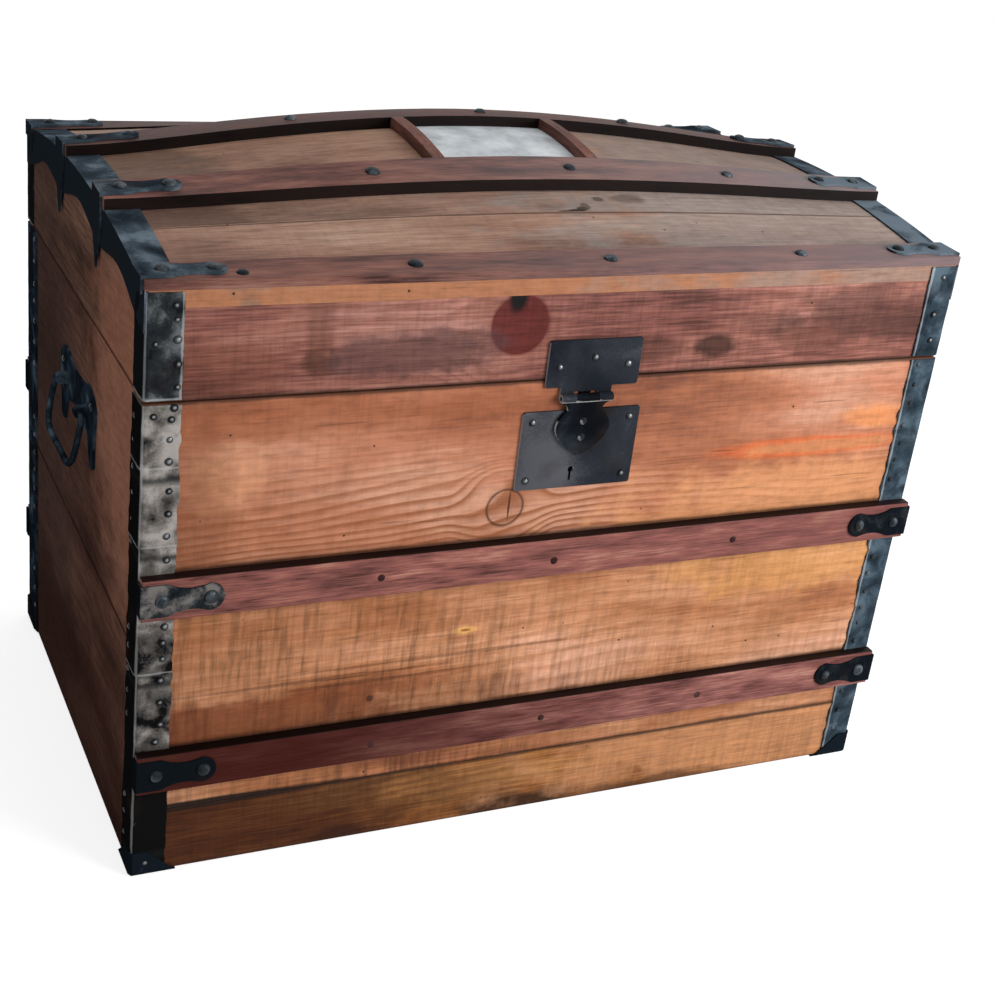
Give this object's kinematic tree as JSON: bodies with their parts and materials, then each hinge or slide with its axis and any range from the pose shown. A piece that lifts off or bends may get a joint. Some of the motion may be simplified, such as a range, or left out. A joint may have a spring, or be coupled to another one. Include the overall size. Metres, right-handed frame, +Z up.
{
  "type": "dome top trunk",
  "caption": "Dome top trunk: boarded box with a hinged doubly curved slatted lid, sheet iron corners and bands, hasp lock and end bails.",
  "frame": {"origin": "on the floor, at the middle of the trunk's plan", "axes": "+X along the length to the right seen from the front, +Y to the back, +Z up"},
  "size_m": [0.8452, 0.531, 0.6361],
  "materials": {
    "pine_walls": "aged pine boards, orange brown, rubbed and saw marked",
    "dark_end_wood": "dark stained pine",
    "red_stained_pine": "pine with worn red brown stain",
    "weathered_pine": "greyed pine staves",
    "raw_pine": "unfinished pine",
    "mahogany_stained_slats": "hardwood slats, dark red brown",
    "sheet_iron": "black lacquered sheet iron, worn",
    "forged_iron": "dark iron, worn",
    "steel_pins": "dull steel",
    "pale_sheet": "pale bare label sheet"
  },
  "bodies": {
    "trunk": {"back_board_lower": "pine_walls", "back_board_middle": "pine_walls", "back_board_upper": "pine_walls", "back_slat_lower": "mahogany_stained_slats", "back_slat_upper": "mahogany_stained_slats", "bottom_ledgers": "raw_pine", "bottom_planks": "raw_pine", "carcass_clamp_nails": "sheet_iron", "carcass_hinge_leaves": "sheet_iron", "carcass_slat_clamps": "sheet_iron", "corner_caps": "sheet_iron", "corner_iron_front_left": "sheet_iron", "corner_iron_front_right": "sheet_iron", "corner_irons_back": "sheet_iron", "front_board_lower": "pine_walls", "front_board_middle": "pine_walls", "front_board_upper": "pine_walls", "front_slat_lower": "mahogany_stained_slats", "front_slat_upper": "mahogany_stained_slats", "hinge_pins": "steel_pins", "left_end_board_lower": "dark_end_wood", "left_end_board_upper": "dark_end_wood", "left_handle_plate": "sheet_iron", "lock_case": "sheet_iron", "lock_plate": "sheet_iron", "plate_nails": "sheet_iron", "right_end_board_lower": "dark_end_wood", "right_end_board_upper": "dark_end_wood", "right_handle_plate": "sheet_iron"},
    "lid": {"hasp_pin": "steel_pins", "hasp_plate": "sheet_iron", "hasp_plate_nails": "sheet_iron", "label_sheet": "pale_sheet", "lid_back_board": "red_stained_pine", "lid_bows": "raw_pine", "lid_clamp_nails": "sheet_iron", "lid_corner_irons": "sheet_iron", "lid_cross_ribs": "mahogany_stained_slats", "lid_end_band_left": "sheet_iron", "lid_end_band_right": "sheet_iron", "lid_front_board": "red_stained_pine", "lid_hinge_leaves": "sheet_iron", "lid_left_end_panel": "dark_end_wood", "lid_right_end_panel": "dark_end_wood", "lid_slat_back": "mahogany_stained_slats", "lid_slat_clamps": "sheet_iron", "lid_slat_crown_back": "mahogany_stained_slats", "lid_slat_crown_front": "mahogany_stained_slats", "lid_slat_front": "mahogany_stained_slats", "lid_stave_1": "weathered_pine", "lid_stave_2": "weathered_pine", "lid_stave_3": "weathered_pine", "lid_stave_4": "weathered_pine", "lid_stave_5": "weathered_pine"},
    "hasp": {"hasp": "sheet_iron", "hasp_staple": "steel_pins"},
    "lock_bolt": {"lock_bolt": "steel_pins"},
    "left_bail": {"left_bail": "forged_iron"},
    "right_bail": {"right_bail": "forged_iron"}
  },
  "joints": [
    {"name": "lid_hinge", "type": "hinge", "parent": "trunk", "child": "lid", "pos_m": [0, 0.2524, 0.47425], "axis": [-1, 0, 0], "range_deg": [0, 100]},
    {"name": "hasp_hinge", "type": "hinge", "parent": "lid", "child": "hasp", "pos_m": [0.004, -0.2535, 0.457], "axis": [-1, 0, 0], "range_deg": [0, 150]},
    {"name": "bolt_slide", "type": "slide", "parent": "trunk", "child": "lock_bolt", "axis": [-1, 0, 0], "range_m": [0, 0.014]},
    {"name": "left_bail_swing", "type": "hinge", "parent": "trunk", "child": "left_bail", "pos_m": [-0.4095, -0.006, 0.383], "axis": [0, 1, 0], "range_deg": [-8, 110]},
    {"name": "right_bail_swing", "type": "hinge", "parent": "trunk", "child": "right_bail", "pos_m": [0.4095, -0.006, 0.383], "axis": [0, -1, 0], "range_deg": [-8, 110]}
  ]
}
